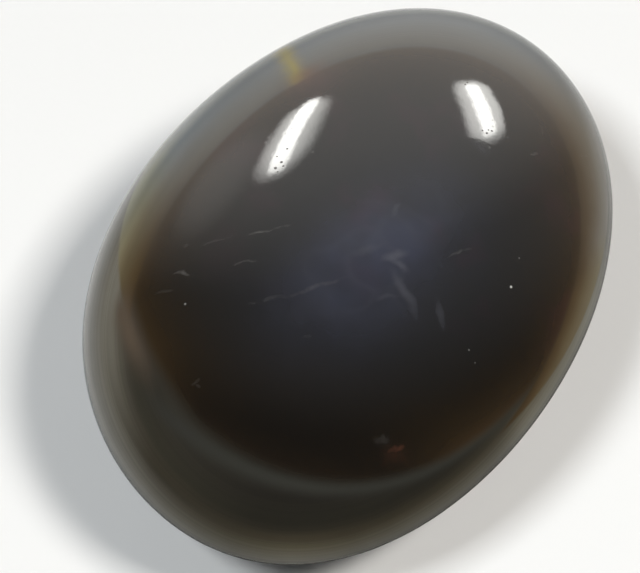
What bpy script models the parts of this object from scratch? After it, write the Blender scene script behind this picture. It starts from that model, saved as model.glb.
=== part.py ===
"""A polished banded agate: one rounded, slightly flattened pebble that rests on a small flat spot.

Metres, +Z up. The long axis lies along X. The origin is in the plane of the flat spot, below the
middle of the stone's box.
"""

import math

import bmesh
import bpy
from mathutils import Vector

# Driving dimensions
LENGTH = 0.0260  # the outline's long axis, along X
WIDTH = 0.01915  # the outline's short axis, along Y
FULL_THICKNESS = 0.0124  # before the flat spot takes its share off the underside
FLAT_DEPTH = 0.0002  # how far the flat spot is worn in
FULLNESS = 2.08  # 2 is an ellipsoid, and more gives fuller shoulders

# Polishing left the oval a little uneven. Each swell is a share of the radius and the direction of
# one of its crests, counted from +X towards +Y.
THREE_CRESTS = (0.0120, math.radians(-13.7))
FOUR_CRESTS = (0.0075, math.radians(29.4))

# Facets along each edge of the cube that the surface is spread from
FACETS_PER_EDGE = 24
ON_THE_PLANE = 1e-7  # a point this near the flat spot's plane counts as on it

STONE_COLOUR = (0.055, 0.045, 0.038, 1.0)
STONE_ROUGHNESS = 0.12


def clear_scene():
    for item in list(bpy.data.objects):
        bpy.data.objects.remove(item, do_unlink=True)


def even_direction(corner):
    """A direction from a point of the unit cube, spread so that the facets come out alike in size."""
    return Vector([math.tan(part * math.pi / 4) for part in corner]).normalized()


def swell(crests, count, angle):
    share, first = crests
    return share * math.cos(count * (angle - first))


def on_stone(direction):
    """The point of the whole oval stone in this direction, with the origin at the oval's centre."""
    across = math.hypot(direction.x, direction.y)
    reach = (across**FULLNESS + abs(direction.z) ** FULLNESS) ** (1 / FULLNESS)
    x, y, z = direction / reach
    angle = math.atan2(y, x)
    uneven = swell(THREE_CRESTS, 3, angle) + swell(FOUR_CRESTS, 4, angle)
    outwards = 1 + uneven * (1 - z * z)
    return Vector((x * outwards * LENGTH / 2, y * outwards * WIDTH / 2, z * FULL_THICKNESS / 2))


def wear_flat(shape, height):
    """Cuts the underside off at this height and closes the cut with one flat face."""
    everything = shape.verts[:] + shape.edges[:] + shape.faces[:]
    cut = bmesh.ops.bisect_plane(
        shape,
        geom=everything,
        dist=ON_THE_PLANE,
        plane_co=(0, 0, height),
        plane_no=(0, 0, -1),
        clear_outer=True,
    )
    rim = [item for item in cut["geom_cut"] if isinstance(item, bmesh.types.BMEdge)]
    bmesh.ops.edgenet_fill(shape, edges=rim)


def stand_on_origin(shape):
    """Moves the stone so that the middle of its box is above the origin and its underside is at zero."""
    low = Vector([min(point.co[k] for point in shape.verts) for k in range(3)])
    high = Vector([max(point.co[k] for point in shape.verts) for k in range(3)])
    middle = (low + high) / 2
    bmesh.ops.translate(shape, verts=shape.verts, vec=(-middle.x, -middle.y, -low.z))


def stone_material():
    made = bpy.data.materials.new("polished_agate")
    made.use_nodes = True
    surface = made.node_tree.nodes["Principled BSDF"]
    surface.inputs["Base Color"].default_value = STONE_COLOUR
    surface.inputs["Roughness"].default_value = STONE_ROUGHNESS
    surface.inputs["Metallic"].default_value = 0.0
    return made


def make_agate():
    shape = bmesh.new()
    bmesh.ops.create_cube(shape, size=2)
    bmesh.ops.subdivide_edges(shape, edges=shape.edges[:], cuts=FACETS_PER_EDGE - 1, use_grid_fill=True)
    for point in shape.verts:
        point.co = on_stone(even_direction(point.co))
    wear_flat(shape, FLAT_DEPTH - FULL_THICKNESS / 2)
    stand_on_origin(shape)
    bmesh.ops.recalc_face_normals(shape, faces=shape.faces[:])
    mesh = bpy.data.meshes.new("agate")
    shape.to_mesh(mesh)
    shape.free()
    mesh.shade_smooth()
    mesh.materials.append(stone_material())
    agate = bpy.data.objects.new("agate", mesh)
    bpy.context.scene.collection.objects.link(agate)


clear_scene()
make_agate()
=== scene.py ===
"""A polished banded agate on a pale floor.

The stone is one closed piece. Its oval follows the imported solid's own rule, with finer facets, and its
bands are layers that run through the whole stone, so they meet the surface alike on every side.
Lengths are in millimetres until they reach Blender, which takes metres.
"""
import math

import bpy
from mathutils import Matrix, Vector


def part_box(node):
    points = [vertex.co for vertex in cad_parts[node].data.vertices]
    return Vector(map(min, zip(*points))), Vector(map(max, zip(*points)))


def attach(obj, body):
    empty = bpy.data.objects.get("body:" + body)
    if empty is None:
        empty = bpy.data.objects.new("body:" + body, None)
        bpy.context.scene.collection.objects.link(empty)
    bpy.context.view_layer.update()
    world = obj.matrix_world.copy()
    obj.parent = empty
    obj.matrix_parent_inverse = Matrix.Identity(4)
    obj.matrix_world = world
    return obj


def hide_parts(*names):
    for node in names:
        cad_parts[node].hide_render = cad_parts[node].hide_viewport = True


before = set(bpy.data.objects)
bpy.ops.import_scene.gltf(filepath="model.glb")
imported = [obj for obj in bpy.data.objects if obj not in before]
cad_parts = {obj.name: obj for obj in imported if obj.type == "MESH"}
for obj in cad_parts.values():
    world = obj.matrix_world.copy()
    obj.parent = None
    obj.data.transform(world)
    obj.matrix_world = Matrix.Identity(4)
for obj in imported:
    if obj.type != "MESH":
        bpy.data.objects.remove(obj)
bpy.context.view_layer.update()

MM = 0.001

# The oval's rule. Each swell is a share of the radius and the direction of one of its crests.
FULLNESS = 2.08
THREE_CRESTS = (0.0120, math.radians(-13.7))
FOUR_CRESTS = (0.0075, math.radians(29.4))
FLAT_DEPTH = 0.2
FLAT_RIM_ROUNDING = 0.12
FACETS_PER_EDGE = 126
CUBE_SIZE = (2.0, 2.0, 2.0)  # the cube that the surface is spread from reaches 1 each way
RIPPLE_HEIGHT = 0.012  # what hand polishing leaves
RIPPLE_WIDTH = 3.0
RIPPLE_SEED = 11.0

# Where the eye is. Right and away are as seen in the picture, and both lie level.
EYE_TURN = math.radians(59.43)
EYE_HEIGHT_ANGLE = math.radians(60)
EYE_DISTANCE = 115.0
LENS = 161.0
FILM_WIDTH = 36.0
PICTURE_WIDTH = 640
STONE_MIDDLE_FROM_PICTURE_MIDDLE = (32.0, 11.3)  # pixels right and up
NEAREST_SEEN = 1.0
FARTHEST_SEEN = 20000.0
RIGHT = Vector((math.cos(EYE_TURN), -math.sin(EYE_TURN), 0))
AWAY = Vector((math.sin(EYE_TURN), math.cos(EYE_TURN), 0))
UP = Vector((0, 0, 1))


class Term:
    """A socket in a sum. Each operator adds the node that works it out, for a number or a vector."""

    def __init__(self, recipe, socket):
        self.recipe = recipe
        self.socket = socket

    def worked(self, operation, *terms):
        return self.recipe.sum_of(operation, *terms)

    def __add__(self, other):
        return self.worked("ADD", self, other)

    def __radd__(self, other):
        return self.worked("ADD", other, self)

    def __sub__(self, other):
        return self.worked("SUBTRACT", self, other)

    def __rsub__(self, other):
        return self.worked("SUBTRACT", other, self)

    def __mul__(self, other):
        return self.worked("MULTIPLY", self, other)

    def __rmul__(self, other):
        return self.worked("MULTIPLY", other, self)

    def __truediv__(self, other):
        return self.worked("DIVIDE", self, other)

    def __rtruediv__(self, other):
        return self.worked("DIVIDE", other, self)

    def __pow__(self, other):
        return self.worked("POWER", self, other)


class Recipe:
    """A node tree that is written as sums. Every node comes from made()."""

    def __init__(self, tree):
        self.tree = tree

    def made(self, kind, settings=None, values=(), output=0):
        """Adds a node: its settings first, then its sockets by order or by name. Returns one output."""
        node = self.tree.nodes.new(kind)
        for name, setting in (settings or {}).items():
            if name == "stops":
                lay_stops(node.color_ramp, setting)
            else:
                setattr(node, name, setting)
        in_use = [socket for socket in node.inputs if socket.enabled]
        pairs = values.items() if isinstance(values, dict) else enumerate(values)
        for key, value in pairs:
            self.feed(in_use[key] if isinstance(key, int) else node.inputs[key], value)
        outputs = [socket for socket in node.outputs if socket.enabled]
        if not outputs:
            return node
        return Term(self, outputs[output] if isinstance(output, int) else node.outputs[output])

    def feed(self, socket, value):
        if isinstance(value, Term):
            self.tree.links.new(value.socket, socket)
        elif value is not None:
            socket.default_value = value

    def sum_of(self, operation, *terms):
        """One Math node, or one Vector Math node where a term is a vector."""
        vectors = any(isinstance(t, Term) and t.socket.type == "VECTOR" for t in terms)
        if not vectors:
            return self.made("ShaderNodeMath", {"operation": operation}, terms)
        spread = [(t, t, t) if isinstance(t, (int, float)) else t for t in terms]
        return self.made("ShaderNodeVectorMath", {"operation": operation}, spread)

    def parts(self, vector):
        split = self.made("ShaderNodeSeparateXYZ", None, [vector])
        return [Term(self, socket) for socket in split.socket.node.outputs]

    def vector(self, x, y, z):
        return self.made("ShaderNodeCombineXYZ", None, [x, y, z])

    def measured(self, operation, *vectors):
        """A number worked out from one or two vectors."""
        return self.made("ShaderNodeVectorMath", {"operation": operation}, vectors, "Value")

    def dot(self, one, other):
        return self.measured("DOT_PRODUCT", one, other)

    def least(self, one, other):
        return self.sum_of("MINIMUM", one, other)

    def most(self, one, other):
        return self.sum_of("MAXIMUM", one, other)

    def size(self, value):
        """The value without its sign."""
        return self.sum_of("ABSOLUTE", value)

    def rise(self, value, start, end):
        """0 before start and 1 past end, with a soft step between."""
        settings = {"interpolation_type": "SMOOTHSTEP"}
        return self.made("ShaderNodeMapRange", settings, [value, start, end, 0.0, 1.0])

    def bell(self, square):
        """1 where this sum of squares is 0, fading to a third where it is about 1."""
        return self.sum_of("EXPONENT", square * -1.0)

    def hump(self, value, middle, half_width):
        """1 at the middle, falling away on both sides like a bell."""
        off = (value - middle) / half_width
        return self.bell(off * off)

    def blend(self, share, one, other, way="MIX"):
        """A colour between two others, or with the other one added to it or multiplied into it."""
        colours = [(*colour, 1.0) if isinstance(colour, tuple) else colour for colour in (one, other)]
        return self.made("ShaderNodeMix", {"data_type": "RGBA", "blend_type": way}, [share, *colours])

    def tinted(self, colour, brightness):
        """A colour made brighter or darker."""
        values = {"Vector": colour, "Scale": brightness}
        return self.made("ShaderNodeVectorMath", {"operation": "SCALE"}, values)

    def noise(self, at, scale, detail=2.0, roughness=0.5, seed=0.0):
        """Clouds from 0 to 1, about 0.5."""
        settings = {"noise_dimensions": "4D"}
        values = {"Vector": at, "W": seed, "Scale": scale, "Detail": detail, "Roughness": roughness}
        return self.made("ShaderNodeTexNoise", settings, values, "Fac")

    def stray(self, at, clouds):
        """The same clouds, from -0.5 to 0.5."""
        return self.noise(at, *clouds) - 0.5


def lay_stops(ramp, stops):
    """Sets a ramp's stops from a list of (place, colour)."""
    while len(ramp.elements) > 1:
        ramp.elements.remove(ramp.elements[-1])
    for number, (place, colour) in enumerate(stops):
        stop = ramp.elements[0] if number == 0 else ramp.elements.new(place)
        stop.position = place
        stop.color = (*colour, 1.0)


def emptied(data):
    """Clears a material's, lamp's or world's node tree and starts a recipe in it."""
    data.use_nodes = True
    data.node_tree.nodes.clear()
    return Recipe(data.node_tree)


def swell(crests, count, angle):
    share, first = crests
    return share * math.cos(count * (angle - first))


def outline(angle):
    """The oval's outline at half a length and half a width of one."""
    reach = 1 + swell(THREE_CRESTS, 3, angle) + swell(FOUR_CRESTS, 4, angle)
    return reach * math.cos(angle), reach * math.sin(angle)


def stone_sizes():
    """The oval's half sizes, and where its centre is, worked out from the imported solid's box."""
    low, high = (Vector(corner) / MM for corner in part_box("agate"))
    rim = [outline(math.radians(half_degree / 2)) for half_degree in range(720)]
    across = [(min(point[k] for point in rim), max(point[k] for point in rim)) for k in range(2)]
    halves = [(high[k] - low[k]) / (across[k][1] - across[k][0]) for k in range(2)]
    middles = [(high[k] + low[k] - sum(across[k]) * halves[k]) / 2 for k in range(2)]
    half_thickness = (high.z - low.z + FLAT_DEPTH) / 2
    halves.append(half_thickness)
    middles.append(high.z - half_thickness)
    return Vector(halves), Vector(middles)


HALVES, CENTRE = stone_sizes()
FLAT_HEIGHT = FLAT_DEPTH - HALVES.z  # from the oval's centre


def stone_tree():
    """The stone's shape: a cube's grid spread over the oval, with its flat spot worn in."""
    tree = bpy.data.node_groups.new("agate shape", "GeometryNodeTree")
    tree.interface.new_socket("Stone", in_out="OUTPUT", socket_type="NodeSocketGeometry")
    inputs = {
        "Half sizes": "NodeSocketVector",
        "Centre": "NodeSocketVector",
        "Flat depth": "NodeSocketFloat",
        "Flat rim rounding": "NodeSocketFloat",
        "Fullness": "NodeSocketFloat",
        "Three crests": "NodeSocketFloat",
        "Three crests turn": "NodeSocketFloat",
        "Four crests": "NodeSocketFloat",
        "Four crests turn": "NodeSocketFloat",
        "Facets per edge": "NodeSocketInt",
        "Ripple height": "NodeSocketFloat",
        "Ripple width": "NodeSocketFloat",
        "Seed": "NodeSocketFloat",
        "Finish": "NodeSocketMaterial",
    }
    for name, kind in inputs.items():
        tree.interface.new_socket(name, in_out="INPUT", socket_type=kind)
    recipe = Recipe(tree)
    given = {s.name: Term(recipe, s) for s in tree.nodes.new("NodeGroupInput").outputs}

    corners = given["Facets per edge"] + 1
    cube = recipe.made("GeometryNodeMeshCube", None, [CUBE_SIZE, corners, corners, corners])
    spread = recipe.sum_of("TANGENT", recipe.made("GeometryNodeInputPosition") * (math.pi / 4))
    x, y, z = recipe.parts(recipe.made("ShaderNodeVectorMath", {"operation": "NORMALIZE"}, [spread]))
    fullness = given["Fullness"]
    across = (x * x + y * y) ** 0.5
    reach = (across**fullness + recipe.size(z) ** fullness) ** (1 / fullness)
    x, y, z = x / reach, y / reach, z / reach

    angle = recipe.sum_of("ARCTAN2", y, x)
    three = given["Three crests"] * recipe.sum_of("COSINE", 3 * (angle - given["Three crests turn"]))
    four = given["Four crests"] * recipe.sum_of("COSINE", 4 * (angle - given["Four crests turn"]))
    outwards = 1 + (three + four) * (1 - z * z)
    whole = recipe.vector(x * outwards, y * outwards, z) * given["Half sizes"]

    clouds = recipe.noise(whole, 1 / given["Ripple width"], seed=given["Seed"])
    rippled = whole + recipe.vector(x, y, z) * (given["Ripple height"] * (clouds - 0.5))
    x, y, z = recipe.parts(rippled)
    half_thickness = recipe.parts(given["Half sizes"])[2]
    flat = given["Flat depth"] - half_thickness
    z = recipe.sum_of("SMOOTH_MAX", z, flat, given["Flat rim rounding"])
    placed = (recipe.vector(x, y, z) + given["Centre"]) * MM

    shaped = recipe.made("GeometryNodeSetPosition", None, {"Geometry": cube, "Position": placed})
    smooth = recipe.made("GeometryNodeSetShadeSmooth", None, {0: shaped})
    real = recipe.made("GeometryNodeRealizeInstances", None, [smooth])
    finished = recipe.made(
        "GeometryNodeSetMaterial", None, {"Geometry": real, "Material": given["Finish"]}
    )
    tree.links.new(finished.socket, tree.nodes.new("NodeGroupOutput").inputs[0])
    return tree


def plain_mesh(name, tree, sizes):
    """Runs a shape tree with these sizes and keeps the result as one plain mesh object."""
    start = bpy.data.objects.new(name + " start", bpy.data.meshes.new(name))
    bpy.context.scene.collection.objects.link(start)
    shaping = start.modifiers.new("Shape", "NODES")
    shaping.node_group = tree
    for socket in tree.interface.items_tree:
        if socket.in_out == "INPUT":
            shaping[socket.identifier] = sizes[socket.name]
    seen = bpy.context.evaluated_depsgraph_get()
    mesh = bpy.data.meshes.new_from_object(start.evaluated_get(seen))
    bpy.data.objects.remove(start, do_unlink=True)
    made = bpy.data.objects.new(name, mesh)
    bpy.context.scene.collection.objects.link(made)
    return made


# Colours, as they are in white light, along the depth in millimetres below a band's upper surface.
# The cap is a clear dark layer, so it is deepest where it is thickest.
CAP = [
    (0.00, (0.0360, 0.0210, 0.0070)),
    (0.25, (0.0255, 0.0140, 0.0038)),
    (0.50, (0.0185, 0.0102, 0.0026)),
    (0.90, (0.0122, 0.0068, 0.0017)),
    (1.30, (0.0080, 0.0046, 0.0013)),
    (1.80, (0.0042, 0.0026, 0.0010)),
    (2.60, (0.0008, 0.0006, 0.0007)),
]
CLEAR_RING = [
    (0.00, (0.060, 0.056, 0.045)),
    (0.28, (0.082, 0.075, 0.061)),
    (0.60, (0.092, 0.087, 0.075)),
    (1.10, (0.097, 0.099, 0.092)),
    (1.50, (0.096, 0.104, 0.106)),
    (1.95, (0.094, 0.105, 0.112)),
    (2.50, (0.138, 0.147, 0.136)),
    (3.00, (0.120, 0.131, 0.129)),
    (3.50, (0.155, 0.160, 0.146)),
    (4.20, (0.100, 0.102, 0.090)),
]
BROWN_RING = [
    (0.00, (0.046, 0.029, 0.012)),
    (0.30, (0.074, 0.051, 0.027)),
    (0.70, (0.109, 0.086, 0.058)),
    (1.00, (0.134, 0.112, 0.084)),
    (1.40, (0.162, 0.146, 0.118)),
    (2.00, (0.185, 0.175, 0.152)),
    (2.60, (0.150, 0.148, 0.132)),
    (3.10, (0.172, 0.168, 0.150)),
    (4.20, (0.110, 0.111, 0.098)),
]
# The second dark band lies above the rim's upper surface, so its depths are negative.
BASE = [
    (-1.30, (0.0135, 0.0118, 0.0085)),
    (-0.60, (0.0145, 0.0130, 0.0083)),
    (-0.30, (0.0205, 0.0172, 0.0108)),
    (0.00, (0.0320, 0.0265, 0.0158)),
    (0.40, (0.0560, 0.0490, 0.0310)),
    (0.90, (0.0930, 0.0840, 0.0630)),
    (1.50, (0.1300, 0.1230, 0.1000)),
    (2.20, (0.1460, 0.1430, 0.1260)),
    (2.70, (0.0950, 0.0880, 0.0700)),
    (3.10, (0.1500, 0.1500, 0.1380)),
    (4.00, (0.1200, 0.1220, 0.1150)),
    (4.55, (0.0600, 0.0520, 0.0400)),
    (4.90, (0.1250, 0.1220, 0.1100)),
    (6.00, (0.1000, 0.1040, 0.1040)),
    (7.00, (0.0850, 0.0900, 0.0950)),
    (7.60, (0.1400, 0.1400, 0.1300)),
    (8.00, (0.0700, 0.0660, 0.0580)),
    (9.20, (0.1000, 0.1000, 0.0950)),
    (10.0, (0.0550, 0.0500, 0.0450)),
]
PALE_LINE = (0.0305, 0.0305, 0.0250)
PINK = (0.0980, 0.0720, 0.0500)
PALE_END = (0.1950, 0.1800, 0.1450)
SALLOW = (1.0, 0.93, 0.66)
CAP_BLUSH = (0.0060, 0.0008, 0.0028)
HAZE = (0.0190, 0.0228, 0.0435)
WISP = (0.060, 0.062, 0.078)
SCAR = (0.200, 0.190, 0.180)
IRON_YELLOW = (0.240, 0.185, 0.008)
IRON_BROWN = (0.110, 0.045, 0.012)
IRON_RED = (0.050, 0.020, 0.015)
RUST = (0.260, 0.085, 0.050)
SPECK = (0.45, 0.45, 0.43)

# The surfaces between bands, from the oval's centre: the height at the middle, the slopes along x and y,
# the bend along x, the twist and the bend along y
CAP_FLOOR = (3.3551, 0.1555, 0.2119, 0.0, -0.0050, 0.0080)
LINE = (2.1997, -0.0883, 0.0536, 0.0050, -0.0083, -0.0059)
RIM = (3.3347, 0.1345, 0.1351, 0.0, 0.0, 0.0)
# The cap also ends a little above the line, least at one y and more to both sides of it
CAP_OVER_LINE = 0.09
CAP_OVER_LINE_MORE = 0.05
CAP_LEAST_OVER_LINE_AT = 0.5
# The pale line lies a little below the line, and a little more towards one end
PALE_LINE_UNDER = 0.29
PALE_LINE_UNDER_MORE = 0.095

# Level directions across the stone, as it is seen in the picture
TO_CLEAR_END = (0.66, 0.85, 0.0)
TO_DARK_END = (-0.99, -0.29, 0.0)
TO_LEFT = (-0.51, 0.86, 0.0)

# Clouds: how many there are to a millimetre, how often finer ones are added, how strong those are, and
# the seed
BAND_WAVES = (0.40, 5.0, 0.6, 4.0)
CROOKED_IN_X = (1.1, 3.0, 0.6, 21.0)
CROOKED_IN_Y = (1.1, 3.0, 0.6, 22.0)
CLOUDS = (0.45, 4.0, 0.5, 1.0)
PUFFS = (0.45, 2.0, 0.5, 15.0)
FOLDS = (0.45, 1.0, 0.5, 7.0)
CRACK_WANDERS = (0.9, 2.0, 0.5, 5.0)
BREAKS = (3.5, 2.0, 0.5, 8.0)
RUBBING = (1.3, 2.0, 0.5, 6.0)
GRAIN = (9.0, 2.0, 0.5, 12.0)
DIPS = (2.2, 1.0, 0.5, 13.0)
LAYER_CLOUDS = {"Scale": 1.0, "Detail": 2.0, "Roughness": 0.6}  # these vary with depth alone

BAND_WAVE = 0.09  # how far a band strays from its smooth surface
CROOKED = 0.55  # how far a scratch or a feather strays from its smooth line

# Fine layers: how thick they are, how much brighter and darker they go, and where they start
RING_LAYERS = (0.055, 0.20, 3.0)
BASE_LAYERS = (0.055, 0.26, 9.0)
BASE_THICKER_LAYERS = (0.24, 0.40, 5.0)

# Old knocks and scratches on the dome: the middle, half the length, the way it runs in degrees, how
# much it bends, half the width, and how strongly it shows
KNOCKS = [
    (-5.61, 4.07, 0.55, -72, 0.60, 0.085, 0.32),
    (-4.67, 4.70, 0.32, -56, 0.50, 0.110, 0.12),
    (-3.10, 2.29, 0.66, -49, 0.15, 0.080, 0.22),
    (-2.52, 1.66, 0.54, -43, 0.10, 0.080, 0.12),
    (-4.12, 3.65, 1.15, -53, 0.04, 0.090, 0.08),
    (-4.44, 2.14, 0.70, -58, 0.30, 0.070, 0.18),
    (-6.52, 4.49, 0.50, -72, 0.30, 0.090, 0.08),
    (-5.39, 0.56, 0.95, -51, 0.06, 0.150, 0.11),
    (-4.08, -0.77, 1.60, -41, 0.03, 0.140, 0.12),
    (-5.89, -1.54, 0.32, -60, 0.40, 0.080, 0.06),
    (0.24, -4.65, 0.76, -34, 0.12, 0.080, 0.13),
    (6.03, -4.78, 0.30, -41, 0.20, 0.080, 0.16),
    (8.04, -6.09, 0.50, -23, 0.10, 0.080, 0.15),
    (-7.45, -5.70, 0.46, 125, 0.10, 0.200, 0.10),
    (-9.15, 1.40, 0.20, -22, -2.60, 0.060, 0.12),
    (-9.24, 1.26, 0.16, 75, 0.00, 0.060, 0.10),
    (7.30, -4.39, 0.50, -140, 0.05, 0.090, 0.06),
]
# Pale feathers in the haze, given in the same way
FEATHERS = [
    (-1.40, -2.72, 0.70, -38, 0.10, 0.26, 0.62),
    (-1.62, -3.05, 0.62, -95, 0.20, 0.24, 0.50),
    (0.32, -1.74, 0.40, -5, 0.30, 0.16, 0.26),
    (-2.45, -3.75, 1.25, -120, 0.05, 0.30, 0.55),
    (-2.26, -5.22, 0.75, -135, 0.06, 0.24, 0.28),
    (-2.96, -3.32, 0.60, -50, 0.20, 0.14, 0.22),
    (-1.73, -1.77, 0.90, -36, -0.15, 0.26, 0.26),
    (4.78, -3.06, 0.60, -100, 0.10, 0.30, 0.16),
]
# Rust-stained flecks near the lower edge, given in the same way
FLECKS = [
    (-7.25, -6.24, 0.46, 154, 0.40, 0.110, 0.19),
    (-7.50, -6.30, 0.90, 140, 0.00, 0.450, 0.04),
]
# White specks: the place, the radius and how strongly each shows
SPECKS = [
    (-6.76, 3.37, 4.92, 0.060, 0.45),
    (0.44, -6.81, 4.45, 0.070, 1.00),
    (-2.71, -6.74, 4.31, 0.050, 0.20),
    (1.64, -6.49, 4.59, 0.050, 0.14),
    (-2.92, -7.14, 4.00, 0.045, 0.10),
]
# Pores: the place of each and its radius
PORES = [
    (-0.31, 3.25, 5.87, 0.085),
    (0.03, 3.19, 5.89, 0.080),
    (0.69, 3.33, 5.85, 0.060),
    (-0.10, 3.02, 5.92, 0.060),
    (0.20, 3.49, 5.82, 0.045),
    (-0.44, 3.08, 5.91, 0.050),
    (7.34, -0.97, 5.17, 0.065),
    (7.18, -0.96, 5.22, 0.055),
    (5.52, -2.66, 5.42, 0.055),
    (5.71, -2.83, 5.34, 0.050),
    (5.76, -2.95, 5.30, 0.065),
    (5.53, -2.86, 5.38, 0.070),
]
DOT_CORE = 0.4  # the share of a dot's radius inside which it shows in full
MARKS_ON_TOP = (0.0, 1.0)  # the heights at which marks start to show and are whole
MARKS_BREAK = (0.25, 0.65)  # how dense clouds are where a mark starts to show and where it is whole


def sheet(x, y, shape):
    """The height of a surface between two bands."""
    middle, slope_x, slope_y, bend_x, twist, bend_y = shape
    bent = bend_x * x * x + twist * x * y + bend_y * y * y
    return middle + slope_x * x + slope_y * y + bent


class Bands:
    """Where a point of the stone lies among the bands. Heights are from the oval's centre."""

    def __init__(self, recipe):
        seen = recipe.made("ShaderNodeTexCoord", None, (), "Object")
        self.here = seen / MM - tuple(CENTRE)
        x, y, z = recipe.parts(self.here)
        self.x, self.y, self.height = x, y, z
        strays = [recipe.stray(self.here, clouds) * CROOKED for clouds in (CROOKED_IN_X, CROOKED_IN_Y)]
        self.crooked = self.here + recipe.vector(*strays, 0.0)
        z = z + recipe.stray(self.here, BAND_WAVES) * BAND_WAVE
        self.over_floor = z - sheet(x, y, CAP_FLOOR)
        self.over_line = z - sheet(x, y, LINE)
        off_least = recipe.size(y - CAP_LEAST_OVER_LINE_AT)
        self.over_edge = self.over_line - (CAP_OVER_LINE + CAP_OVER_LINE_MORE * off_least)
        self.off_pale_line = self.over_line + PALE_LINE_UNDER + PALE_LINE_UNDER_MORE * y
        self.under_rim = sheet(x, y, RIM) - z
        self.to_clear_end = recipe.dot(self.here, TO_CLEAR_END)
        self.to_dark_end = recipe.dot(self.here, TO_DARK_END)
        self.to_left = recipe.dot(self.here, TO_LEFT)


def streak(recipe, here, mark):
    """A thin curved mark, strongest in the middle, where it shows as much as its last number says."""
    x, y, half_length, heading, bend, half_width, strength = mark
    turn = math.radians(heading)
    off = here - (x, y, 0.0)
    along = recipe.dot(off, (math.cos(turn) / half_length, math.sin(turn) / half_length, 0.0))
    along = along * along
    aside = recipe.dot(off, (-math.sin(turn) / half_width, math.cos(turn) / half_width, 0.0))
    aside = aside + along * (bend * half_length**2 / half_width)
    shown = recipe.most(1 - along - aside * aside, 0.0)
    return shown * shown * strength


def streaks(recipe, here, marks):
    total = streak(recipe, here, marks[0])
    for mark in marks[1:]:
        total = total + streak(recipe, here, mark)
    return total


def dots(recipe, here, places):
    """Round dots, each given by its place, its radius and how strongly it shows."""
    total = 0.0
    for *place, radius, strength in places:
        off = recipe.measured("DISTANCE", here, tuple(place))
        total = recipe.rise(off, radius, radius * DOT_CORE) * strength + total
    return total


def by_depth(recipe, depth, stops):
    """The colour at this depth, from a list of depths and colours."""
    start, end = stops[0][0], stops[-1][0]
    shares = [((place - start) / (end - start), colour) for place, colour in stops]
    share = (depth - start) / (end - start)
    return recipe.made("ShaderNodeValToRGB", {"stops": shares}, [share])


def laminae(recipe, depth, layers):
    """Fine layers, as a brightness about 1."""
    thickness, strength, seed = layers
    settings = {"noise_dimensions": "1D"}
    values = {"W": depth / thickness + seed, **LAYER_CLOUDS}
    return (recipe.made("ShaderNodeTexNoise", settings, values, "Fac") - 0.5) * strength + 1


# From here on, a pair of numbers says where a change starts and where it is complete, unless its comment
# says otherwise.
CAP_UNEVEN = 0.30  # how far clouds shift the cap's depths
CAP_DARKENS = (7.0, 10.0)  # towards its dark end
CAP_DARKENS_BY = 0.72
BLUSH_CLOUDS = (0.50, 0.66)
BLUSH_REACH = (6.0, 0.0)  # towards its dark end
HAZE_MIDDLE = (-1.8, -2.1, 0.0)
# Along and across the haze, each divided by the distance in which it fades to a third
HAZE_LONG = (0.2499, -0.0665, 0.0)
HAZE_SHORT = (0.1279, 0.4807, 0.0)
HAZE_DEPTH = (0.0, 3.75)
HAZE_LEAST = 0.70
HAZE_PUFFS = (0.30, 0.70)
HAZE_PUFF_STRENGTH = 0.6
FOLD_EDGE = (0.05, 0.0)
FOLD_STRENGTH = 0.10
FEATHER_STRENGTH = 2.0


def cap_colour(recipe, bands, thickness, clouds):
    """The clear dark cap, with the blue haze and its feathers in the middle."""
    colour = by_depth(recipe, thickness + (clouds - 0.5) * CAP_UNEVEN, CAP)
    darkened = recipe.rise(bands.to_dark_end, *CAP_DARKENS) * CAP_DARKENS_BY
    colour = recipe.tinted(colour, 1 - darkened)
    blush = recipe.rise(clouds, *BLUSH_CLOUDS) * recipe.rise(bands.to_dark_end, *BLUSH_REACH)
    colour = recipe.blend(blush, colour, CAP_BLUSH, "ADD")
    off = bands.here - HAZE_MIDDLE
    along, across = recipe.dot(off, HAZE_LONG), recipe.dot(off, HAZE_SHORT)
    haze = recipe.bell(along * along + across * across) * recipe.rise(thickness, *HAZE_DEPTH)
    puffs = recipe.rise(recipe.noise(bands.here, *PUFFS), *HAZE_PUFFS)
    colour = recipe.blend(haze * (HAZE_LEAST + HAZE_PUFF_STRENGTH * puffs), colour, HAZE, "ADD")
    folds = recipe.rise(recipe.size(recipe.stray(bands.here, FOLDS)), *FOLD_EDGE) * haze
    feathers = streaks(recipe, bands.crooked, FEATHERS) * (clouds * FEATHER_STRENGTH)
    return recipe.blend(feathers + folds * FOLD_STRENGTH, colour, WISP)


RING_UNEVEN = 0.35  # how far clouds shift the ring's depths
RING_CLEARS = (1.0, 7.0)  # towards its clear end
# Painted light: the ring is made lighter towards the left, where light shines through it from the far side
THROUGH_LIT_SIDE = (4.0, 8.0)  # towards the left
THROUGH_LIT_DEPTH = (0.7, 1.7)
PAINTED_THROUGH_LIGHT = 0.65
SALLOW_LEFT = (6.6, 8.4)  # towards the left
SALLOW_RIGHT = (-8.0, -8.8)  # in y


def ring_colour(recipe, bands, clouds):
    """The ring: brown on one side, clear and bluish on the other, yellowish at both ends, and made lighter
    towards the left by painted light shining through it.
    """
    below = 0 - bands.over_floor
    depth = below + (clouds - 0.5) * RING_UNEVEN
    brown = by_depth(recipe, depth, BROWN_RING)
    clear = by_depth(recipe, depth, CLEAR_RING)
    colour = recipe.blend(recipe.rise(bands.to_clear_end, *RING_CLEARS), brown, clear)
    # painted light shining through: the ring made lighter towards the left
    through_lit = recipe.rise(bands.to_left, *THROUGH_LIT_SIDE) * recipe.rise(below, *THROUGH_LIT_DEPTH)
    colour = recipe.tinted(colour, (1 + PAINTED_THROUGH_LIGHT * through_lit) * laminae(recipe, below, RING_LAYERS))
    sallow = recipe.rise(bands.to_left, *SALLOW_LEFT) + recipe.rise(bands.y, *SALLOW_RIGHT)
    return recipe.blend(sallow, colour, SALLOW, "MULTIPLY")


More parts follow.
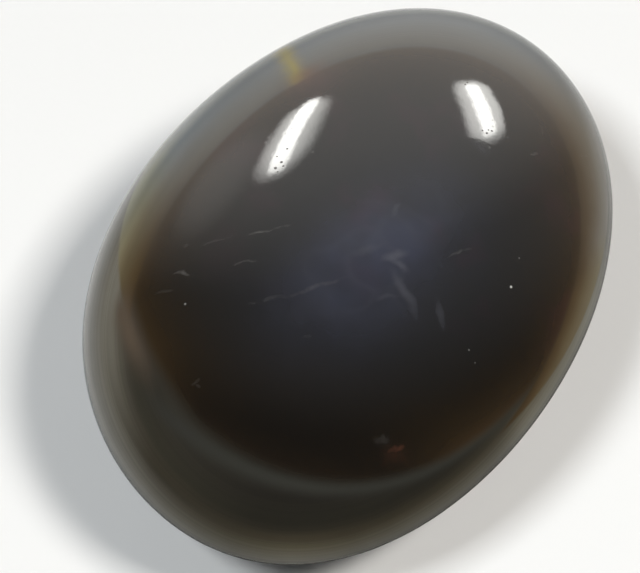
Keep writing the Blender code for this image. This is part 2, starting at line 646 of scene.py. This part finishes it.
BASE_UNEVEN = 0.25  # how far clouds shift the depths below the line
DARK_BAND_LIGHTENS = (-3.5, 2.0)  # in y
DARK_BAND_DEPTH = (0.1, -0.5)
RIGHT_RIM_WIDTH = (-8.2, -9.3)  # in y
RIGHT_RIM_LENGTH = (-4.5, -2.0)  # in x
RIGHT_RIM_LIGHTER = 0.6
# Painted light bounced up from the floor: the rim is made lighter at the stone's near end
NEAR_END_WIDTH = (-4.4, 1.6)  # in y, a middle and half a width
NEAR_END_REACH = (8.0, 11.0)  # towards the dark end
NEAR_END_DEPTH = (-0.6, 0.0)
NEAR_END_PAINTED_BOUNCE = 0.45
PALE_END_SIDE = (1.2, 7.5)  # in y
PALE_END_DEPTH = (-0.9, 0.1)
PALE_END_FADES = (1.35, 0.25)
PALE_LINE_WIDTH = (0.0, 0.28)  # a middle and half a width
PALE_LINE_ENDS = (4.0, 1.0)  # in y
PALE_LINE_STRENGTH = 0.9


def base_colour(recipe, bands, clouds):
    """All that lies below the line: the pale line, the second dark band and the layered rim."""
    depth = bands.under_rim + (clouds - 0.5) * BASE_UNEVEN
    colour = by_depth(recipe, depth, BASE)
    dark_band = recipe.rise(bands.y, *DARK_BAND_LIGHTENS) * recipe.rise(depth, *DARK_BAND_DEPTH)
    right_rim = recipe.rise(bands.y, *RIGHT_RIM_WIDTH) * recipe.rise(bands.x, *RIGHT_RIM_LENGTH)
    # painted bounce light from the floor, lighter on the rim at the near end
    near_end_bounce = recipe.hump(bands.y, *NEAR_END_WIDTH) * recipe.rise(bands.to_dark_end, *NEAR_END_REACH)
    near_end_bounce = near_end_bounce * recipe.rise(depth, *NEAR_END_DEPTH)
    lighter = 1 + dark_band + RIGHT_RIM_LIGHTER * right_rim + NEAR_END_PAINTED_BOUNCE * near_end_bounce
    pale_end = recipe.rise(bands.y, *PALE_END_SIDE) * recipe.rise(depth, *PALE_END_FADES)
    pale_end = pale_end * recipe.rise(depth, *PALE_END_DEPTH)
    colour = recipe.blend(pale_end, recipe.tinted(colour, lighter), PALE_END)
    layers = laminae(recipe, bands.under_rim, BASE_LAYERS)
    layers = layers * laminae(recipe, bands.under_rim, BASE_THICKER_LAYERS)
    colour = recipe.tinted(colour, layers)
    line = recipe.hump(bands.off_pale_line, *PALE_LINE_WIDTH) * recipe.rise(bands.y, *PALE_LINE_ENDS)
    return recipe.blend(line * PALE_LINE_STRENGTH, colour, PALE_LINE)


CRACK_WANDER = 0.6  # how far the crack strays from a straight line
CRACK_OFF_MIDDLE = 0.8
CRACK_SIDE = (4.0, 8.0)  # in x and y together
CRACK_HEIGHT = (1.4, 3.4)
# Middles and half widths of the stains, across the crack and above the cap's floor
CRACK_WIDTH = (0.0, 0.36)
FOOT_WIDTH = (0.30, 0.70)
FOOT_HEIGHT = (-0.14, 0.36)
BLUSH_WIDTH = (0.70, 1.00)
BLUSH_HEIGHT = (0.35, 0.45)
YELLOW_STRENGTH = 0.85
BROWN_STRENGTH = 0.70
RED_STRENGTH = 0.5


def iron_stain(recipe, bands, colour, in_cap):
    """A fine crack across the ring, stained yellow, with a browner patch where it meets the cap."""
    wander = recipe.stray(bands.here, CRACK_WANDERS) * CRACK_WANDER
    off = (bands.x - bands.y + CRACK_OFF_MIDDLE) * math.sqrt(0.5) + wander
    far_side = recipe.rise(bands.x + bands.y, *CRACK_SIDE)
    crack = recipe.hump(off, *CRACK_WIDTH) * far_side * recipe.rise(bands.height, *CRACK_HEIGHT)
    foot = recipe.hump(off, *FOOT_WIDTH) * far_side * recipe.hump(bands.over_floor, *FOOT_HEIGHT)
    blush = recipe.hump(off, *BLUSH_WIDTH) * recipe.hump(bands.over_floor, *BLUSH_HEIGHT) * far_side
    colour = recipe.blend(crack * (1 - in_cap) * YELLOW_STRENGTH, colour, IRON_YELLOW)
    colour = recipe.blend(foot * BROWN_STRENGTH, colour, IRON_BROWN)
    return recipe.blend(blush * RED_STRENGTH, colour, IRON_RED)


# How softly the bands meet
CAP_OVER_FLOOR = (-0.12, 0.10)
CAP_OVER_EDGE = (-0.28, 0.26)
RING_OVER_LINE = (-0.08, 0.08)
RING_UNDER_CAP = (0.14, -0.06)
PINK_STARTS = (2.5, 5.2)  # in y
PINK_STOPS = (6.6, 5.7)  # in y
PINK_HEIGHT = (-0.15, 0.40)  # over the line, a middle and half a width

RELIEF = 0.003  # how deep the polish's fine waves are
DIP_SHARE = 0.5
GRAIN_SHARE = 0.22
POLISH = 0.035
RUBBED = 0.03
KNOCK_ROUGHNESS = 0.25
PIT_ROUGHNESS = 0.26
WORN = 0.30
WORN_HEIGHT = (FLAT_HEIGHT + 0.05, FLAT_HEIGHT)
PITS_TO_A_MM = 3.0
PIT_EDGE = (0.22, 0.10)  # from a pit's middle, as a share of the space between pits
PIT_CHOSEN = (0.70, 0.74)  # most places for a pit stay empty
PIT_STRENGTH = 0.4
PORE_STRENGTH = 1.2
# How light goes into the stone and is bent by it
CLEARNESS = {
    "IOR": 1.54,
    "Subsurface Weight": 0.4,
    "Subsurface Radius": (1.0, 0.95, 0.9),
    "Subsurface Scale": 0.20 * MM,
}


def roughness(recipe, bands, knocks):
    """A high polish, duller on the knocks, in the pits and pores and on the flat spot."""
    pits = recipe.made("ShaderNodeTexVoronoi", None, {"Vector": bands.here, "Scale": PITS_TO_A_MM})
    chosen = recipe.parts(Term(recipe, pits.socket.node.outputs["Color"]))[0]
    pit = recipe.rise(pits, *PIT_EDGE) * recipe.rise(chosen, *PIT_CHOSEN) * PIT_STRENGTH
    pit = pit + dots(recipe, bands.here, [(*pore, PORE_STRENGTH) for pore in PORES])
    rough = recipe.noise(bands.here, *RUBBING) * RUBBED + POLISH
    rough = rough + knocks * KNOCK_ROUGHNESS + pit * PIT_ROUGHNESS
    return rough + recipe.rise(bands.height, *WORN_HEIGHT) * WORN


def agate_finish():
    finish = bpy.data.materials.new("polished_agate")
    recipe = emptied(finish)
    bands = Bands(recipe)
    clouds = recipe.noise(bands.here, *CLOUDS)

    thickness = recipe.least(bands.over_floor, bands.over_edge)
    in_cap = recipe.rise(bands.over_floor, *CAP_OVER_FLOOR) * recipe.rise(bands.over_edge, *CAP_OVER_EDGE)
    in_ring = recipe.rise(bands.over_line, *RING_OVER_LINE)
    in_ring = in_ring * recipe.rise(bands.over_floor, *RING_UNDER_CAP)
    base, ring = base_colour(recipe, bands, clouds), ring_colour(recipe, bands, clouds)
    colour = recipe.blend(in_ring, base, ring)
    pink = recipe.rise(bands.y, *PINK_STARTS) * recipe.hump(bands.over_line, *PINK_HEIGHT)
    colour = recipe.blend(pink * recipe.rise(bands.y, *PINK_STOPS), colour, PINK)
    colour = recipe.blend(in_cap, colour, cap_colour(recipe, bands, thickness, clouds))
    colour = iron_stain(recipe, bands, colour, in_cap)

    shown = recipe.rise(bands.height, *MARKS_ON_TOP)
    shown = shown * recipe.rise(recipe.noise(bands.here, *BREAKS), *MARKS_BREAK)
    knocks = streaks(recipe, bands.crooked, KNOCKS) * shown
    flecks = streaks(recipe, bands.crooked, FLECKS) * shown
    colour = recipe.blend(knocks, colour, SCAR)
    colour = recipe.blend(flecks, colour, RUST)
    colour = recipe.blend(dots(recipe, bands.here, SPECKS), colour, SPECK)

    waves = recipe.noise(bands.here, *DIPS) * DIP_SHARE + recipe.noise(bands.here, *GRAIN) * GRAIN_SHARE
    relief = {"Strength": 1.0, "Distance": RELIEF * MM, "Height": waves}
    bump = recipe.made("ShaderNodeBump", None, relief)
    surface = recipe.made(
        "ShaderNodeBsdfPrincipled",
        {"subsurface_method": "RANDOM_WALK"},
        {
            "Base Color": colour,
            "Roughness": roughness(recipe, bands, knocks),
            "Normal": bump,
            **CLEARNESS,
        },
    )
    recipe.made("ShaderNodeOutputMaterial", None, [surface])
    return finish


def make_agate():
    sizes = {
        "Half sizes": tuple(HALVES),
        "Centre": tuple(CENTRE),
        "Flat depth": FLAT_DEPTH,
        "Flat rim rounding": FLAT_RIM_ROUNDING,
        "Fullness": FULLNESS,
        "Three crests": THREE_CRESTS[0],
        "Three crests turn": THREE_CRESTS[1],
        "Four crests": FOUR_CRESTS[0],
        "Four crests turn": FOUR_CRESTS[1],
        "Facets per edge": FACETS_PER_EDGE,
        "Ripple height": RIPPLE_HEIGHT,
        "Ripple width": RIPPLE_WIDTH,
        "Seed": RIPPLE_SEED,
        "Finish": agate_finish(),
    }
    agate = plain_mesh("agate_stone", stone_tree(), sizes)
    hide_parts("agate")
    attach(agate, "root")


def make_camera():
    """Looks a little left of the stone's middle and below it, so that it is where the picture has it."""
    back = (UP * math.sin(EYE_HEIGHT_ANGLE) - AWAY * math.cos(EYE_HEIGHT_ANGLE)).normalized()
    above = back.cross(RIGHT)
    eye = CENTRE + back * EYE_DISTANCE
    per_pixel = FILM_WIDTH / LENS / PICTURE_WIDTH * EYE_DISTANCE
    off_right, off_up = STONE_MIDDLE_FROM_PICTURE_MIDDLE
    aim = CENTRE - (RIGHT * off_right + above * off_up) * per_pixel
    back = (eye - aim).normalized()
    right = above.cross(back).normalized()
    above = back.cross(right)
    turn = Matrix((right, above, back)).transposed()
    data = bpy.data.cameras.new("camera")
    data.lens = LENS
    data.sensor_width = FILM_WIDTH
    data.clip_start = NEAREST_SEEN * MM
    data.clip_end = FARTHEST_SEEN * MM
    camera = bpy.data.objects.new("camera", data)
    camera.matrix_world = Matrix.Translation(eye * MM) @ turn.to_4x4()
    bpy.context.scene.collection.objects.link(camera)
    bpy.context.scene.camera = camera


FLOOR_HALF = 3000.0
FLOOR_GAP = 0.002  # so that the floor and the flat spot don't share a plane
PAPER = 0.85
PAPER_ROUGHNESS = 0.8
SHEET_FADES = (17.0, 48.0)  # how far from the stone its gloss still shows the paper
# The gloss shows the paper with painted shade, least on the side that this direction points to
BRIGHT_SIDE = AWAY * 0.87 - RIGHT * 0.49
BRIGHT_SIDE_SHARE = (-0.80, 0.75)
DIMMED_MOST = 0.92
DIMMED_LESS = 0.80


def floor_finish():
    finish = bpy.data.materials.new("white paper")
    recipe = emptied(finish)
    beyond = recipe.made("ShaderNodeBsdfTransparent")
    place = recipe.made("ShaderNodeTexCoord", None, (), "Object") / MM
    off = recipe.measured("LENGTH", place)
    in_gloss = recipe.made("ShaderNodeLightPath", None, (), "Is Glossy Ray")
    bright_side = recipe.rise(recipe.dot(place, tuple(BRIGHT_SIDE)) / off, *BRIGHT_SIDE_SHARE)
    # painted shade on the paper, seen only in the stone's polish
    gloss_painted_shade = in_gloss * (DIMMED_MOST - DIMMED_LESS * bright_side)
    white = recipe.blend(gloss_painted_shade, (PAPER, PAPER, PAPER), (0.0, 0.0, 0.0))
    matt = {"Base Color": white, "Roughness": PAPER_ROUGHNESS}
    paper = recipe.made("ShaderNodeBsdfPrincipled", None, matt)
    gone = in_gloss * recipe.rise(off, *SHEET_FADES)
    surface = recipe.made("ShaderNodeMixShader", None, [gone, paper, beyond])
    recipe.made("ShaderNodeOutputMaterial", None, [surface])
    return finish


def make_floor():
    half, low = FLOOR_HALF * MM, -FLOOR_GAP * MM
    mesh = bpy.data.meshes.new("floor")
    corners = [(-half, -half, low), (half, -half, low), (half, half, low), (-half, half, low)]
    mesh.from_pydata(corners, [], [(0, 1, 2, 3)])
    mesh.materials.append(floor_finish())
    floor = bpy.data.objects.new("floor", mesh)
    bpy.context.scene.collection.objects.link(floor)


# Soft overhead lamps: how far right and away each is, as shares of its height, its power and its colour
LAMPS = {
    "right lamp": (0.50, -0.19, 1.88, (1.0, 0.97, 0.92)),
    "left lamp": (-0.40, -0.24, 1.37, (0.93, 0.965, 0.98)),
}
LAMP_HEIGHT = 450.0
LAMP_SIZE = 110.0

# Long lamps seen only in the polish. Lengths are shares of their height, and turns are in degrees. Places,
# widths and slants on a lamp's face are shares of its own width and length.
STRIPS = {
    "left strip": {
        "middle": (-0.497, 1.455),
        "size": (0.46, 1.15),
        "turn": -3.0,
        "slant": -0.18,
        "squareness": 2,
        "tube_middle": (0.51, 0.522),
        "tube_half_size": (0.150, 0.430),
        "tube_strength": 12.5,
        "glow": 7.5,
    },
    "right strip": {
        "middle": (0.834, 1.57),
        "size": (0.60, 1.10),
        "turn": -4.5,
        "slant": 0.42,
        "squareness": 4,
        "tube_middle": (0.460, 0.480),
        "tube_half_size": (0.170, 0.372),
        "tube_strength": 11.5,
        "glow": 8.5,
    },
}
STRIP_HEIGHT = 400.0
STRIP_COLOUR = (1.0, 1.0, 0.96)
# The more square a glow is, the flatter it stays up to its edge
HOUSING_END_SQUARENESS = 4
TUBE_SQUARENESS = (4, 8)  # across and along
HOUSING_EDGE = (1.0, 0.0)
TUBE_EDGE = (1.9, 0.1)


def area_lamp(name, place, wide, long):
    """A rectangular lamp. Place is right, away and up from the stone, in millimetres."""
    data = bpy.data.lights.new(name, "AREA")
    data.shape = "RECTANGLE"
    data.size = wide * MM
    data.size_y = long * MM
    lamp = bpy.data.objects.new(name, data)
    right, away, up = place
    lamp.location = (CENTRE + RIGHT * right + AWAY * away + UP * up) * MM
    lamp.visible_camera = False
    bpy.context.scene.collection.objects.link(lamp)
    return lamp


def make_lamps():
    for name, (right, away, power, colour) in LAMPS.items():
        place = (right * LAMP_HEIGHT, away * LAMP_HEIGHT, LAMP_HEIGHT)
        lamp = area_lamp(name, place, LAMP_SIZE, LAMP_SIZE)
        lamp.data.energy = power
        lamp.data.color = colour
        lamp.rotation_euler = (lamp.location - CENTRE * MM).to_track_quat("Z", "Y").to_euler()
        lamp.visible_glossy = False
    for name, strip in STRIPS.items():
        right, away = strip["middle"]
        wide, long = strip["size"]
        place = (right * STRIP_HEIGHT, away * STRIP_HEIGHT, STRIP_HEIGHT)
        lamp = area_lamp(name, place, wide * STRIP_HEIGHT, long * STRIP_HEIGHT)
        lamp.rotation_euler = (0, 0, math.radians(-strip["turn"]) - EYE_TURN)
        lamp.visible_diffuse = False
        lamp.data.color = STRIP_COLOUR
        lamp.data.energy = math.pi * lamp.data.size * lamp.data.size_y
        strip_glow(lamp.data, strip)


def strip_glow(data, strip):
    """A bright tube in a dimmer housing, both with slanted ends and soft edges."""
    recipe = emptied(data)
    across, along, _ = recipe.parts(recipe.made("ShaderNodeNewGeometry", None, (), "Parametric"))
    along = along - strip["slant"] * (across - 0.5)
    tube_across, tube_along = strip["tube_middle"]
    half_wide, half_long = strip["tube_half_size"]
    wide_power, long_power = TUBE_SQUARENESS
    from_middle = ((across - 0.5) / 0.5) ** strip["squareness"]
    from_middle = from_middle + ((along - 0.5) / 0.5) ** HOUSING_END_SQUARENESS
    from_tube = ((across - tube_across) / half_wide) ** wide_power
    from_tube = from_tube + ((along - tube_along) / half_long) ** long_power
    housing = recipe.rise(from_middle, *HOUSING_EDGE)
    tube = recipe.rise(from_tube, *TUBE_EDGE)
    strength = tube * strip["tube_strength"] + housing * strip["glow"]
    light = recipe.made("ShaderNodeEmission", None, {"Strength": strength})
    recipe.made("ShaderNodeOutputLight", None, [light])


ROOM_LIGHT = 0.05  # on all surfaces
ROOM_COLOUR = (0.98, 0.99, 1.0)
BACKDROP = 0.95  # what the eye sees beyond the floor
NEAR_ROOM = 0.133  # in the polish, all round
POLISH_ROOM_COLOUR = (1.0, 0.985, 0.965)
# Glows in the room that only the polish shows: the way to each, where it starts and is complete, and
# its strength
GLOWS = [
    (AWAY + UP * 0.36, (0.53, 1.03), 0.89),
    (AWAY * 0.92 + RIGHT * 0.40 + UP * 0.84, (0.12, 1.60), 0.59),
    (AWAY * 0.70 - RIGHT * 0.53 + UP * 0.475, (0.970, 1.0), 0.45),
]


def make_sky():
    """A plain room: soft light from all round for the surfaces, and for the polish a bright far side."""
    world = bpy.data.worlds.new("pale room")
    bpy.context.scene.world = world
    recipe = emptied(world)
    towards = recipe.made("ShaderNodeTexCoord", None, (), "Generated")
    in_polish = NEAR_ROOM
    for way, edge, light in GLOWS:
        in_polish = recipe.rise(recipe.dot(towards, tuple(way)), *edge) * light + in_polish
    to_gloss = recipe.made("ShaderNodeLightPath", None, (), "Is Glossy Ray")
    to_eye = Term(recipe, to_gloss.socket.node.outputs["Is Camera Ray"])
    strength = to_gloss * in_polish + to_eye * BACKDROP + (1 - to_gloss - to_eye) * ROOM_LIGHT
    colour = recipe.blend(to_gloss, ROOM_COLOUR, POLISH_ROOM_COLOUR)
    room = recipe.made("ShaderNodeBackground", None, {"Color": colour, "Strength": strength})
    recipe.made("ShaderNodeOutputWorld", None, [room])


make_camera()
make_agate()
make_floor()
make_lamps()
make_sky()
bpy.context.scene.view_settings.view_transform = "Standard"
